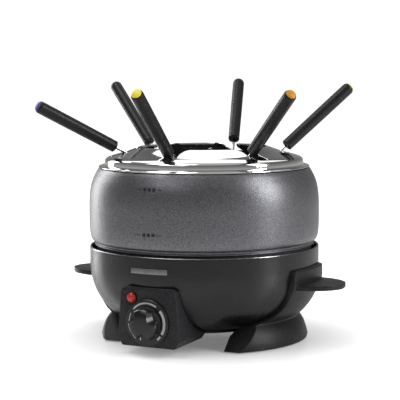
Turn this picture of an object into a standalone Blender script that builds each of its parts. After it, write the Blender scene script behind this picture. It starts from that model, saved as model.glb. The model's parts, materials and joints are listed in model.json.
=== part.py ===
"""Electric fondue pot set.

A heated base on two handle mouldings, a lift-out pot, a steel ring that carries
six forks in its notches, and the control box with its thermostat knob.

Frame: Z up, origin on the pot's axis at the level the feet stand on.
The control panel faces -Y and the two handle mouldings lie along X.
Lengths in the constants are millimetres; MM turns them into metres.
"""
import math

import bmesh
import bpy
from mathutils import Matrix, Vector

MM = 0.001
GAP = 0.3                  # clearance between touching pieces
STEPS = 48                 # segments of the large turned pieces
MERGE = 0.00001            # metres; vertices closer than this are one

# ---- base bowl: a vertical wall over a quarter ellipse ------------------------
BOWL_R = 99.8
BOWL_RIM_Z = 80.8
BOWL_CURVE_Z = 66.0        # where the wall starts to curve in
BOWL_FLAT_R = 55.0         # radius of the flat bottom
BOWL_FLAT_Z = 15.0
BOWL_WALL = 1.6
BOWL_HOLE_R = 44.0

# ---- pot -----------------------------------------------------------------------
POT_RIM_Z = 148.2
POT_SEAT_Z = 58.6          # underside that stands on the heating plate
POT_FLOOR_Z = 61.6

# ---- fork ring -----------------------------------------------------------------
RING_LIP_Z = 149.2
NOTCHES = 6
NOTCH_PHASE = -86.0        # azimuth of the first notch, degrees
NOTCH_WIDTH = 11.0
NOTCH_END_R = 82.0
RING_SHOULDER_Z = 157.0

# ---- handle mouldings ----------------------------------------------------------
COLLAR_R = 103.8
COLLAR_TOP_Z = 66.6
SADDLE_THICK = 3.6
TAB_TOP_Z = 53.8
TAB_THICK = 4.2
TAB_ROOT_X = 95.0
TAB_TIP_X = 130.8
TAB_HALF = 27.2
FOOT_BOTTOM_Z = 0.8
FOOT_HALF = 64.5           # half-width of the foot where it stands
PAD_R = 5.0
PAD_TOP_Z = 2.6
PAD_ORBIT_R = 82.0
PAD_ANGLE = 28.0

# ---- control box ---------------------------------------------------------------
PANEL_Y = -101.5
PANEL_WALL = 2.2
BOX_BACK_Y = -44.0
DIAL_Z = 27.5
DIAL_R = 19.5
DIAL_THICK = 2.2
KNOB_R = 14.0
KNOB_HEIGHT = 11.0
SHAFT_R = 2.9
LAMP_X = -15.5
LAMP_Z = 47.1
LAMP_R = 4.2

# ---- heater --------------------------------------------------------------------
PLATE_R = 72.0
PLATE_TOP_Z = 58.3
PLATE_THICK = 6.0
ELEMENT_ORBIT_R = 60.0
ELEMENT_R = 3.4
POST_ORBIT_R = 50.0
POST_R = 3.2
COVER_R = 57.0
COVER_UNDER_Z = 11.7

POST_ANGLES = (90, 210, 330)
FRAME_SCREW_Y = 15.0
FRAME_SCREW_Z = 60.0
SCREW_BORE_R = 1.9
SCREW_SHANK_R = 1.6
INLET_Z = 36.0             # height of the cord gland on the rear wall

# ---- forks ---------------------------------------------------------------------
HANDLE_LENGTH = 79.0
HANDLE_R = 5.7
STEM_R = 1.25
STEM_REACH = 150.0         # from the handle's lower end to the tine tips
TANG_LENGTH = 38.0
TINE_THICK = 1.2
# colour, notch number, radius where the stem crosses the ring, sideways offset,
# yaw from the radial direction, tilt above the horizon, stand-off of the handle
FORKS = (
    ("yellow", 0, 70.4, -0.6, 0.8, 39.6, 4.5),
    ("orange", 1, 66.8, -1.6, -10.2, 37.6, 4.5),
    ("green", 2, 68.0, -1.6, 13.4, 39.6, 5.9),
    ("blue", 3, 71.1, 1.2, 17.2, 40.9, 10.6),
    ("red", 4, 74.8, 0.9, -2.5, 40.6, 9.6),
    ("purple", 5, 68.7, 0.0, 21.9, 27.2, 10.7),
)
CAP_COLOURS = {
    "yellow": (0.80, 0.62, 0.03),
    "orange": (0.85, 0.45, 0.03),
    "green": (0.45, 0.60, 0.05),
    "blue": (0.03, 0.12, 0.55),
    "red": (0.62, 0.03, 0.03),
    "purple": (0.20, 0.10, 0.55),
}


# ================================================================ scene helpers
def clear_scene():
    for obj in list(bpy.data.objects):
        bpy.data.objects.remove(obj, do_unlink=True)


def new_collection(name):
    collection = bpy.data.collections.new(name)
    bpy.context.scene.collection.children.link(collection)
    return collection


def material(name, colour, roughness, metallic=0.0):
    mat = bpy.data.materials.new(name)
    mat.use_nodes = True
    shader = mat.node_tree.nodes["Principled BSDF"]
    shader.inputs["Base Color"].default_value = (*colour, 1.0)
    shader.inputs["Roughness"].default_value = roughness
    shader.inputs["Metallic"].default_value = metallic
    return mat


clear_scene()
PARTS = new_collection("fondue_pot_set")
CUTTERS = new_collection("cutters")

BLACK_PAINT = material("black_paint", (0.030, 0.031, 0.033), 0.30)
BLACK_PLASTIC = material("black_plastic", (0.028, 0.029, 0.031), 0.50)
PANEL_PLASTIC = material("panel_plastic", (0.040, 0.041, 0.044), 0.45)
DARK_COATING = material("dark_coating", (0.10, 0.102, 0.108), 0.42, 0.6)
STAINLESS = material("stainless", (0.72, 0.72, 0.71), 0.08, 1.0)
ALUMINIUM = material("aluminium", (0.62, 0.62, 0.63), 0.35, 1.0)
ZINC_STEEL = material("zinc_steel", (0.55, 0.55, 0.56), 0.30, 1.0)
RED_LENS = material("red_lens", (0.70, 0.03, 0.02), 0.10)
RUBBER = material("rubber", (0.02, 0.02, 0.02), 0.80)
CERAMIC = material("ceramic_white", (0.80, 0.78, 0.72), 0.45)


def place(name, mesh, mat, matrix=None, parent=None):
    """Link a mesh as one named piece with one material."""
    obj = bpy.data.objects.new(name, mesh)
    PARTS.objects.link(obj)
    if not mesh.materials:
        mesh.materials.append(mat)
    obj.parent = parent
    if matrix is not None:
        obj.matrix_local = matrix
    return obj


def work_object(mesh):
    """A construction object in the cutters' collection."""
    obj = bpy.data.objects.new("work", mesh)
    CUTTERS.objects.link(obj)
    obj.hide_render = True
    obj.display_type = "WIRE"
    return obj


def evaluated_mesh(obj):
    """The object's mesh after its modifiers, in its own local space."""
    graph = bpy.context.evaluated_depsgraph_get()
    return bpy.data.meshes.new_from_object(obj.evaluated_get(graph))


def solid(build, matrix=None):
    """A mesh from a bmesh-filling function, optionally transformed."""
    bm = bmesh.new()
    build(bm)
    if matrix is not None:
        bmesh.ops.transform(bm, matrix=matrix, verts=bm.verts)
    bmesh.ops.recalc_face_normals(bm, faces=bm.faces)
    mesh = bpy.data.meshes.new("solid")
    bm.to_mesh(mesh)
    bm.free()
    return mesh


def combine(mesh, others, operation="DIFFERENCE"):
    """Boolean a mesh with others, one after another."""
    base = work_object(mesh)
    tools = []
    for other in others:
        tool = work_object(other)
        tools.append(tool)
        modifier = base.modifiers.new("cut", "BOOLEAN")
        modifier.operation = operation
        modifier.solver = "EXACT"
        modifier.object = tool
    bpy.context.view_layer.update()
    result = evaluated_mesh(base)
    for obj in tools + [base]:
        bpy.data.objects.remove(obj, do_unlink=True)
    return clean(result)


def clean(mesh):
    bm = bmesh.new()
    bm.from_mesh(mesh)
    bmesh.ops.remove_doubles(bm, verts=bm.verts, dist=MERGE)
    bmesh.ops.dissolve_degenerate(bm, edges=bm.edges, dist=MERGE)
    bm.to_mesh(mesh)
    bm.free()
    return mesh


def smooth(mesh, angle=35.0):
    mesh.shade_smooth()
    mesh.set_sharp_from_angle(angle=math.radians(angle))
    return mesh


# ================================================================ shape helpers
def turned(profile, steps=STEPS, closed=True):
    """Revolve an (r, z) outline about Z; an open one starts and ends on the axis."""
    mesh = bpy.data.meshes.new("profile")
    points = [(r * MM, 0.0, z * MM) for r, z in profile]
    edges = [(i, i + 1) for i in range(len(points) - 1)]
    if closed:
        edges.append((len(points) - 1, 0))
    mesh.from_pydata(points, edges, [])
    obj = work_object(mesh)
    screw = obj.modifiers.new("turn", "SCREW")
    screw.steps = steps
    screw.render_steps = steps
    screw.use_merge_vertices = True
    screw.merge_threshold = MERGE
    screw.use_normal_calculate = True
    bpy.context.view_layer.update()
    result = evaluated_mesh(obj)
    bpy.data.objects.remove(obj, do_unlink=True)
    bm = bmesh.new()
    bm.from_mesh(result)
    bmesh.ops.recalc_face_normals(bm, faces=bm.faces)
    bm.to_mesh(result)
    bm.free()
    return result


def cylinder(radius, start, end, steps=24, top_radius=None):
    """A closed cylinder or cone between two points given in millimetres."""
    start = Vector(start) * MM
    end = Vector(end) * MM
    axis = end - start
    turn = Vector((0, 0, 1)).rotation_difference(axis).to_matrix().to_4x4()
    matrix = Matrix.Translation((start + end) / 2) @ turn
    top = radius if top_radius is None else top_radius

    def build(bm):
        bmesh.ops.create_cone(bm, cap_ends=True, segments=steps, radius1=radius * MM,
                              radius2=top * MM, depth=axis.length)
    return solid(build, matrix)


def box(low, high):
    """An axis-aligned box between two corners given in millimetres."""
    low = Vector(low) * MM
    high = Vector(high) * MM
    size = high - low
    matrix = Matrix.Translation((low + high) / 2) @ Matrix.Diagonal((*size, 1.0))

    def build(bm):
        bmesh.ops.create_cube(bm, size=1.0)
    return solid(build, matrix)


def curve_mesh(curve):
    """The closed mesh of a curve, with its caps welded on."""
    obj = bpy.data.objects.new("route", curve)
    CUTTERS.objects.link(obj)
    bpy.context.view_layer.update()
    mesh = evaluated_mesh(obj)
    bpy.data.objects.remove(obj, do_unlink=True)
    bm = bmesh.new()
    bm.from_mesh(mesh)
    bmesh.ops.remove_doubles(bm, verts=bm.verts, dist=MERGE)
    bmesh.ops.recalc_face_normals(bm, faces=bm.faces)
    bm.to_mesh(mesh)
    bm.free()
    return mesh


def poly_curve(points, dimensions):
    """A curve with one straight-sided spline through 3-D millimetre points."""
    curve = bpy.data.curves.new("route", "CURVE")
    curve.dimensions = dimensions
    spline = curve.splines.new("POLY")
    spline.points.add(len(points) - 1)
    for point, co in zip(spline.points, points):
        point.co = (*(Vector(co) * MM), 1.0)
    return curve


# how a flat outline drawn in X and Y is turned to stand in another plane
UPRIGHT_YZ = Matrix(((0, 0, 1, 0), (1, 0, 0, 0), (0, 1, 0, 0), (0, 0, 0, 1)))
UPRIGHT_XZ = Matrix.Rotation(math.radians(90), 4, "X")


def extruded(outline, low, high, turn=None):
    """Fill a flat outline and extrude it between two levels along its normal."""
    curve = poly_curve([(a, b, 0.0) for a, b in outline], "2D")
    curve.fill_mode = "BOTH"
    curve.extrude = (high - low) / 2 * MM
    curve.splines[0].use_cyclic_u = True
    mesh = curve_mesh(curve)
    mesh.transform(Matrix.Translation((0, 0, (low + high) / 2 * MM)))
    if turn is not None:
        mesh.transform(turn)
    return mesh


def lofted(front, back):
    """Join two outlines with equal point counts, given as 3-D millimetre points."""
    def build(bm):
        rows = []
        for points in (front, back):
            rows.append([bm.verts.new(Vector(p) * MM) for p in points])
        bm.faces.new(rows[0])
        bm.faces.new(rows[1])
        count = len(front)
        for i in range(count):
            j = (i + 1) % count
            bm.faces.new((rows[0][i], rows[0][j], rows[1][j], rows[1][i]))
    return solid(build)


def arc(centre, radius, start, end, count):
    """Points on an arc, angles in degrees, both ends included."""
    points = []
    for i in range(count + 1):
        angle = math.radians(start + (end - start) * i / count)
        points.append((centre[0] + radius * math.cos(angle), centre[1] + radius * math.sin(angle)))
    return points


def spun(mesh, degrees):
    """A copy of a mesh turned about Z."""
    copy = mesh.copy()
    copy.transform(Matrix.Rotation(math.radians(degrees), 4, "Z"))
    return copy


def polar(radius, degrees, z):
    angle = math.radians(degrees)
    return (radius * math.cos(angle), radius * math.sin(angle), z)


# ================================================================ shared outlines
def bowl_radius(z, offset=0.0):
    """Outer radius of the bowl at height z, moved out by offset along the section."""
    if z >= BOWL_CURVE_Z:
        return BOWL_R + offset
    half_r = BOWL_R - BOWL_FLAT_R + offset
    half_z = BOWL_CURVE_Z - BOWL_FLAT_Z + offset
    ratio = min((BOWL_CURVE_Z - z) / half_z, 1.0)
    return BOWL_FLAT_R + half_r * math.sqrt(1.0 - ratio * ratio)


def bowl_curve(offset, count):
    """Quarter-ellipse points from the wall down to the flat bottom."""
    half_r = BOWL_R - BOWL_FLAT_R + offset
    half_z = BOWL_CURVE_Z - BOWL_FLAT_Z + offset
    points = []
    for i in range(count + 1):
        angle = math.radians(90.0 * i / count)
        points.append((BOWL_FLAT_R + half_r * math.cos(angle),
                       BOWL_CURVE_Z - half_z * math.sin(angle)))
    return points


def inlet_frame():
    """Cord gland: its place on the bowl's rear wall, and the wall's outward normal there."""
    at = Vector((0.0, bowl_radius(INLET_Z), INLET_Z))
    across = (at.y - BOWL_FLAT_R) / (BOWL_R - BOWL_FLAT_R) ** 2
    along = (INLET_Z - BOWL_CURVE_Z) / (BOWL_CURVE_Z - BOWL_FLAT_Z) ** 2
    return at, Vector((0.0, across, along)).normalized()


def bowl_clearance(offset=GAP):
    """Everything inside the bowl's outer surface plus a gap, as a cutter."""
    profile = [(0.0, BOWL_RIM_Z + 20), (BOWL_R + offset, BOWL_RIM_Z + 20)]
    profile += bowl_curve(offset, 14)
    profile.append((0.0, BOWL_FLAT_Z - offset))
    return turned(profile, STEPS, closed=False)


# ================================================================ the base
def build_bowl():
    outer = [(98.5, BOWL_RIM_Z), (99.5, BOWL_RIM_Z - 0.4), (BOWL_R, BOWL_RIM_Z - 1.2)]
    outer += bowl_curve(0.0, 9)
    inner = list(reversed(bowl_curve(-BOWL_WALL, 7)))
    profile = outer + [(BOWL_HOLE_R, BOWL_FLAT_Z), (BOWL_HOLE_R, BOWL_FLAT_Z + BOWL_WALL)]
    profile += inner + [(BOWL_R - BOWL_WALL, BOWL_RIM_Z - 0.8)]
    holes = [box((-11, -100, 20), (11, -70, 34))]
    inlet_at, inlet_axis = inlet_frame()
    holes.append(cylinder(4.6, inlet_at - inlet_axis * 8, inlet_at + inlet_axis * 8, 20))
    for angle in POST_ANGLES:
        x, y, z = polar(POST_ORBIT_R, angle, BOWL_FLAT_Z)
        holes.append(cylinder(2.0, (x, y, z - 4), (x, y, z + 5), 16))
    for side in (1, -1):
        for y in (FRAME_SCREW_Y, -FRAME_SCREW_Y):
            holes.append(cylinder(2.0, (side * 90, y, FRAME_SCREW_Z), (side * 110, y, FRAME_SCREW_Z), 16))
    return smooth(combine(turned(profile), holes))


def build_bottom_cover():
    profile = [(0.0, 13.5), (44.0, 13.5), (44.0, BOWL_FLAT_Z - GAP),
               (COVER_R - 0.6, BOWL_FLAT_Z - GAP), (COVER_R, BOWL_FLAT_Z - 1.0), (COVER_R, 12.7),
               (COVER_R - 1.0, COVER_UNDER_Z), (0.0, COVER_UNDER_Z)]
    cuts = []
    for angle in POST_ANGLES:
        x, y, z = polar(POST_ORBIT_R, angle, COVER_UNDER_Z)
        cuts.append(cylinder(2.0, (x, y, z - 4), (x, y, z + 6), 16))
    for i in range(6):
        slot = box((24, -1.5, 8), (38, 1.5, 16))
        cuts.append(spun(slot, 30 + 60 * i))
    return smooth(combine(turned(profile, closed=False), cuts))


def frame_section():
    """Outline of the moulding in radius and height: collar, saddle, neck and foot."""
    outer = [(101.2, COLLAR_TOP_Z), (103.0, COLLAR_TOP_Z - 0.5), (COLLAR_R, COLLAR_TOP_Z - 1.6),
             (COLLAR_R, 56.0), (bowl_radius(51, SADDLE_THICK) + 1.5, 51.0)]
    for z in (46, 41, 36, 31, 27, 24):
        outer.append((bowl_radius(z, SADDLE_THICK), z))
    outer += [(82.2, 21.6), (82.0, 20.0), (84.6, 17.8), (87.4, 13.2), (89.3, 7.8),
              (90.4, 3.0), (90.0, FOOT_BOTTOM_Z)]
    inner = [(74.0, FOOT_BOTTOM_Z), (72.6, 10.0), (71.0, 17.6)]
    curve = [p for p in bowl_curve(GAP, 16) if p[1] > 18.6]
    inner += list(reversed(curve))
    return outer + inner + [(BOWL_R + GAP, COLLAR_TOP_Z)]


def frame_outline():
    """Side view of the moulding in Y and Z, widening into the foot."""
    half = [(25.5, COLLAR_TOP_Z + 2), (28.8, 64.4), (30.0, 60.0), (30.0, 52.0), (29.0, 44.0),
            (29.4, 38.0), (31.0, 32.0), (34.5, 26.5), (39.0, 22.6), (42.5, 20.9),
            (FOOT_HALF, 0.0), (FOOT_HALF, -2.0)]
    return half + [(-y, z) for y, z in reversed(half)]


def tab_outline():
    """Half-oval tab, its root buried in the moulding."""
    points = []
    count = 24
    for i in range(count + 1):
        angle = math.radians(-90 + 180 * i / count)
        x = TAB_ROOT_X + (TAB_TIP_X - TAB_ROOT_X) * max(math.cos(angle), 0.0) ** 0.95
        points.append((x, TAB_HALF * math.sin(angle)))
    return points


def build_handle_frame():
    """The right-hand moulding; the left one is the same piece turned half a turn."""
    shell = turned(frame_section())
    side = extruded(frame_outline(), 50, 115, UPRIGHT_YZ)
    moulding = combine(shell, [side], "INTERSECT")
    low = TAB_TOP_Z - TAB_THICK
    plate = lofted([(x - 0.8 * (x > 100), y * 0.97, low) for x, y in tab_outline()],
                   [(x, y, low + 1.0) for x, y in tab_outline()])
    upper = extruded(tab_outline(), low + 1.0, TAB_TOP_Z)
    plate = combine(plate, [upper], "UNION")
    plate = combine(plate, [bowl_clearance()])
    moulding = combine(moulding, [plate], "UNION")
    cuts = []
    for sign in (1, -1):
        x, y, _ = polar(PAD_ORBIT_R, sign * PAD_ANGLE, 0)
        cuts.append(cylinder(PAD_R + GAP, (x, y, -1), (x, y, PAD_TOP_Z + GAP), 20))
        cuts.append(cylinder(SCREW_BORE_R, (95, FRAME_SCREW_Y * sign, FRAME_SCREW_Z),
                             (101.9, FRAME_SCREW_Y * sign, FRAME_SCREW_Z), 16))
    return smooth(combine(moulding, cuts), 30)


def panel_outline(y, inset=0.0):
    """Front face of the control box: a trapezoid with cut corners."""
    half = [(21.4, 56.0), (25.5, 53.2), (28.5, 13.1), (24.3, 7.0)]
    points = [(x - inset, y, z - inset * math.copysign(1, z - 30)) for x, z in half]
    return points + [(-x, yy, z) for x, yy, z in reversed(points)]


def box_back(front, y):
    """The box's slightly narrower rear section, under the bowl."""
    return [(x * 0.97, y, z + 1.2) for x, _, z in front]


def build_control_box():
    front = panel_outline(PANEL_Y)
    inner_front = panel_outline(PANEL_Y + PANEL_WALL, PANEL_WALL)
    shell = lofted(front, box_back(front, BOX_BACK_Y))
    cuts = [bowl_clearance(), cylinder(COVER_R + GAP, (0, 0, 0), (0, 0, 16), STEPS),
            lofted(inner_front, box_back(inner_front, BOX_BACK_Y + 5)),
            cylinder(SHAFT_R + 0.5, (0, PANEL_Y - 5, DIAL_Z), (0, PANEL_Y + 5, DIAL_Z), 20),
            cylinder(LAMP_R + GAP, (LAMP_X, PANEL_Y - 5, LAMP_Z), (LAMP_X, PANEL_Y + 5, LAMP_Z), 20)]
    return smooth(combine(shell, cuts), 30)


def front_facing(profile, x, z, steps=32, closed=False):
    """A turned piece whose axis points out of the panel, its z measured outwards."""
    mesh = turned(profile, steps, closed)
    turn = Matrix.Rotation(math.radians(90), 4, "X")
    mesh.transform(Matrix.Translation((x * MM, 0, z * MM)) @ turn)
    return mesh


def build_dial_ring():
    start = -PANEL_Y + GAP
    end = start + DIAL_THICK
    profile = [(DIAL_R - 0.6, end), (DIAL_R, end - 0.6), (DIAL_R, start), (SHAFT_R + 1.2, start),
               (SHAFT_R + 1.2, end)]
    return smooth(front_facing(profile, 0, DIAL_Z, 48, closed=True))


def build_lamp_bezel():
    start = -PANEL_Y + GAP
    rim_r = LAMP_R + 0.8
    profile = [(rim_r - 0.2, start + 1.0), (rim_r, start + 0.7), (rim_r, start), (LAMP_R + GAP, start),
               (LAMP_R + GAP, start + 1.0)]
    return smooth(front_facing(profile, LAMP_X, LAMP_Z, 24, closed=True))


def build_lamp_lens():
    start = -PANEL_Y - PANEL_WALL - 0.6
    end = -PANEL_Y + 1.2
    dome = [(0.0, end + 1.6), (1.8, end + 1.4), (3.2, end + 0.7), (LAMP_R, end - 0.6)]
    return smooth(front_facing(dome + [(LAMP_R, start), (0.0, start)], LAMP_X, LAMP_Z, 24))


def build_lamp_retainer():
    end = -PANEL_Y - PANEL_WALL - GAP
    nut_r = LAMP_R + 1.7
    profile = [(nut_r, end), (nut_r, end - 1.5), (LAMP_R + GAP, end - 1.5), (LAMP_R + GAP, end)]
    return smooth(front_facing(profile, LAMP_X, LAMP_Z, 24, closed=True))


def build_knob():
    """Domed grip with three finger scoops over a short skirt."""
    start = -PANEL_Y + 2 * GAP + DIAL_THICK
    end = start + KNOB_HEIGHT
    profile = [(0.0, end), (5.0, end - 0.2), (9.0, end - 0.8), (11.6, end - 1.8),
               (12.8, end - 3.4), (13.4, end - 6.0), (KNOB_R, end - 8.5), (KNOB_R, start), (0.0, start)]
    cuts = [cylinder(SHAFT_R + GAP, (0, -start + 1, DIAL_Z), (0, -start - 7, DIAL_Z), 20)]
    for angle in (90, 210, 330):
        x = 15.2 * math.cos(math.radians(angle))
        z = DIAL_Z + 15.2 * math.sin(math.radians(angle))
        scoop = cylinder(5.2, (x, -start - 3.0, z), (x, -end - 5.0, z), 20, top_radius=9.4)
        cuts.append(scoop)
    return smooth(combine(front_facing(profile, 0, DIAL_Z, 36), cuts), 40)


def build_badge():
    """Plain plate bent to the bowl's wall."""
    half_angle = 9.6
    outer = arc((0, 0), BOWL_R + GAP + 0.7, -90 - half_angle, -90 + half_angle, 12)
    inner = arc((0, 0), BOWL_R + GAP, -90 + half_angle, -90 - half_angle, 12)
    return smooth(extruded(outer + inner, 67.0, 71.4), 30)


def build_cord_inlet():
    """Round cord gland that clips into the rear wall, square to the surface."""
    profile = [(6.4, 5.0), (7.0, 4.4), (7.6, 1.2), (7.6, 0.9), (4.2, 0.9), (4.2, -6.0),
               (2.6, -6.0), (2.6, 5.0)]
    mesh = turned(profile, 24)
    inlet_at, inlet_axis = inlet_frame()
    turn = Vector((0, 0, 1)).rotation_difference(inlet_axis).to_matrix().to_4x4()
    mesh.transform(Matrix.Translation(inlet_at * MM) @ turn)
    return smooth(mesh)


# ================================================================ the heater
def build_heating_plate():
    low = PLATE_TOP_Z - PLATE_THICK
    profile = [(0.0, PLATE_TOP_Z), (PLATE_R - 1.5, PLATE_TOP_Z), (PLATE_R, PLATE_TOP_Z - 1.0),
               (PLATE_R, low + 1.0), (PLATE_R - 1.0, low), (0.0, low)]
    return smooth(turned(profile, closed=False))


def tube(points, radius):
    """A closed round tube through points in millimetres."""
    curve = poly_curve(points, "3D")
    curve.bevel_depth = radius * MM
    curve.bevel_resolution = 2
    curve.use_fill_caps = True
    return smooth(curve_mesh(curve), 50)


def build_heating_element():
    """Tubular element: most of a ring whose two ends bend down to the wiring."""
    z = PLATE_TOP_Z - PLATE_THICK - GAP - ELEMENT_R
    points = [polar(ELEMENT_ORBIT_R, -74, z - 9), polar(ELEMENT_ORBIT_R, -73, z - 4)]
    count = 36
    for i in range(count + 1):
        points.append(polar(ELEMENT_ORBIT_R, -70 + 320 * i / count, z))
    points += [polar(ELEMENT_ORBIT_R, 253, z - 4), polar(ELEMENT_ORBIT_R, 254, z - 9)]
    return tube(points, ELEMENT_R)


def build_heat_shield():
    profile = [(84.0, 41.0), (84.6, 40.6), (78.0, 30.4), (20.0, 30.4), (20.0, 31.2), (77.6, 31.2)]
    holes = []
    for angle in POST_ANGLES:
        x, y, _ = polar(POST_ORBIT_R, angle, 0)
        holes.append(cylinder(POST_R + 0.6, (x, y, 26), (x, y, 36), 16))
    return smooth(combine(turned(profile), holes))


def build_plate_post(angle):
    x, y, _ = polar(POST_ORBIT_R, angle, 0)
    low = BOWL_FLAT_Z + BOWL_WALL + GAP
    high = PLATE_TOP_Z - PLATE_THICK - GAP
    bore = cylinder(SCREW_BORE_R, (x, y, low - 2), (x, y, low + 14), 12)
    return smooth(combine(cylinder(POST_R, (x, y, low), (x, y, high), 16), [bore]))


def screw(head_at, axis, head_r, head_h, length):
    """A pan-head screw: head outside head_at, shank running along axis."""
    head_at = Vector(head_at)
    axis = Vector(axis).normalized()
    shank = cylinder(SCREW_SHANK_R, head_at - axis * (head_h * 0.5), head_at + axis * length, 12)
    head = cylinder(head_r * 0.8, head_at - axis * head_h, head_at, 20, top_radius=head_r)
    return smooth(combine(head, [shank], "UNION"))


def build_capillary():
    """Sensing tube from the thermostat through the bowl's opening to the plate."""
    route = [(6, -89.2, 24), (6, -86, 25), (5.5, -84.5, 29), (5, -85, 35), (4.5, -87, 41),
             (4, -86, 45.5), (3, -81, 48.8), (2, -74, 49.8), (0, -60, 49.8), (0, -20, 49.8), (0, 8, 49.8)]
    return tube(route, 1.0)


# ================================================================ pot and ring
def build_pot():
    outer = [(91.0, POT_RIM_Z), (92.0, POT_RIM_Z - 0.7), (94.4, 143.6), (96.8, 138.4), (98.8, 131.0),
             (99.9, 121.0), (100.0, 100.0), (99.4, 91.0), (98.3, 86.9), (96.6, 85.3), (94.4, 85.0),
             (94.4, 83.6), (95.6, 83.2), (95.6, 82.4), (93.4, 81.8), (93.2, 68.0), (90.6, 61.6),
             (84.0, POT_SEAT_Z)]
    inner = [(81.0, POT_FLOOR_Z), (88.0, 65.0), (90.4, 72.0), (90.7, 82.0), (96.4, 93.0), (97.2, 101.0),
             (97.0, 118.0), (94.8, 132.0), (91.0, 141.0), (88.8, 147.4), (89.4, POT_RIM_Z)]
    axis_top = (0.0, POT_FLOOR_Z)
    axis_low = (0.0, POT_SEAT_Z)
    loop = [axis_top] + inner + outer + [axis_low]
    return smooth(turned(loop, closed=False), 30)


def ring_section():
    """Outline of the spun ring: locating skirt, rolled lip, shoulder and a rising crown."""
    outer = [(53.0, 163.4), (53.4, 165.4), (54.6, 166.1), (56.6, 165.9), (66.0, 162.4), (75.0, 159.7),
             (83.0, 157.4), (85.5, 155.9), (86.2, 154.0), (86.4, 150.1), (90.8, 149.9),
             (91.7, RING_LIP_Z), (91.0, 148.6), (87.0, 148.6), (86.2, 147.6), (86.2, 142.0)]
    inner = [(85.2, 142.0), (85.2, 153.8), (84.2, 155.4), (74.6, 158.7), (65.8, 161.3), (56.3, 164.8),
             (54.8, 165.0), (54.0, 163.4)]
    return outer + inner


def notch_outline():
    """Plan view of one notch along +X: parallel sides, rounded end, flared mouth."""
    half = NOTCH_WIDTH / 2
    corner = 2.5
    mouth = [(44.0, -14.0), (51.0, -13.0), (55.0, -9.2), (59.0, -6.6), (63.0, -half)]
    end = arc((NOTCH_END_R - corner, -half + corner), corner, -90, 0, 4)
    end += arc((NOTCH_END_R - corner, half - corner), corner, 0, 90, 4)
    return mouth + end + [(x, -y) for x, y in reversed(mouth)]


def build_fork_ring():
    notch = extruded(notch_outline(), 140, 180)
    notches = []
    for i in range(NOTCHES):
        notches.append(spun(notch, NOTCH_PHASE + 360 / NOTCHES * i))
    return smooth(combine(turned(ring_section()), notches), 30)


# ================================================================ forks
def build_fork_steel():
    """Stem and three-tined head along Z, zero at the handle's lower end."""
    head_top = -STEM_REACH + 26
    crotch = head_top - 8.5
    shoulder = -STEM_REACH + 3
    half = [(1.2, head_top + 3), (1.4, head_top), (3.5, head_top - 6), (3.5, shoulder),
            (3.1, -STEM_REACH), (2.3, shoulder), (2.3, crotch), (0.7, crotch), (0.7, shoulder)]
    outline = half + [(0.0, -STEM_REACH)] + [(-x, z) for x, z in reversed(half)]
    head = extruded(outline, -TINE_THICK / 2, TINE_THICK / 2, UPRIGHT_XZ)
    stem = cylinder(STEM_R, (0, 0, TANG_LENGTH), (0, 0, head_top + 1), 12)
    return smooth(combine(stem, [head], "UNION"), 40)


def build_fork_handle():
    """Slightly tapered grip with a bore for the tang and a recess for the cap."""
    recess_z = HANDLE_LENGTH - 6.0
    bore_r = STEM_R + GAP
    bore_z = TANG_LENGTH + 1.0
    profile = [(0.0, recess_z), (4.0, recess_z), (4.2, HANDLE_LENGTH), (5.2, HANDLE_LENGTH - 0.5),
               (HANDLE_R, HANDLE_LENGTH - 2.0), (HANDLE_R, 50.0), (5.2, 1.0), (4.6, 0.0),
               (bore_r, 0.0), (bore_r, bore_z), (0.0, bore_z)]
    return smooth(turned(profile, 16, closed=False), 40)


def build_fork_cap():
    """Coloured plug whose rounded button stands out of the handle's end."""
    low = HANDLE_LENGTH - 5.6
    top = HANDLE_LENGTH + GAP
    profile = [(0.0, top + 1.6), (2.6, top + 1.4), (4.6, top), (3.7, top), (3.7, low), (0.0, low)]
    return smooth(turned(profile, 16, closed=False), 40)


def fork_matrix(spec):
    """Origin at the handle's lower end, local Z up the handle, tines standing upright."""
    _, notch, radius, offset, yaw, tilt, standoff = spec
    azimuth = math.radians(NOTCH_PHASE + 360 / NOTCHES * notch)
    radial = Vector((math.cos(azimuth), math.sin(azimuth), 0))
    sideways = Vector((-radial.y, radial.x, 0))
    surface = RING_SHOULDER_Z + (84 - radius) * 0.3
    crossing = radial * radius + sideways * offset + Vector((0, 0, surface))
    heading = azimuth + math.radians(yaw)
    tilt = math.radians(tilt)
    axis = Vector((math.cos(heading) * math.cos(tilt), math.sin(heading) * math.cos(tilt),
                   math.sin(tilt)))
    flat = Vector((math.sin(heading), -math.cos(heading), 0))
    upright = flat.cross(axis)
    rotation = Matrix((upright, flat, axis)).transposed()
    if rotation.determinant() < 0:
        rotation = Matrix((upright, -flat, axis)).transposed()
    return Matrix.Translation((crossing + axis * standoff) * MM) @ rotation.to_4x4()


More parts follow.
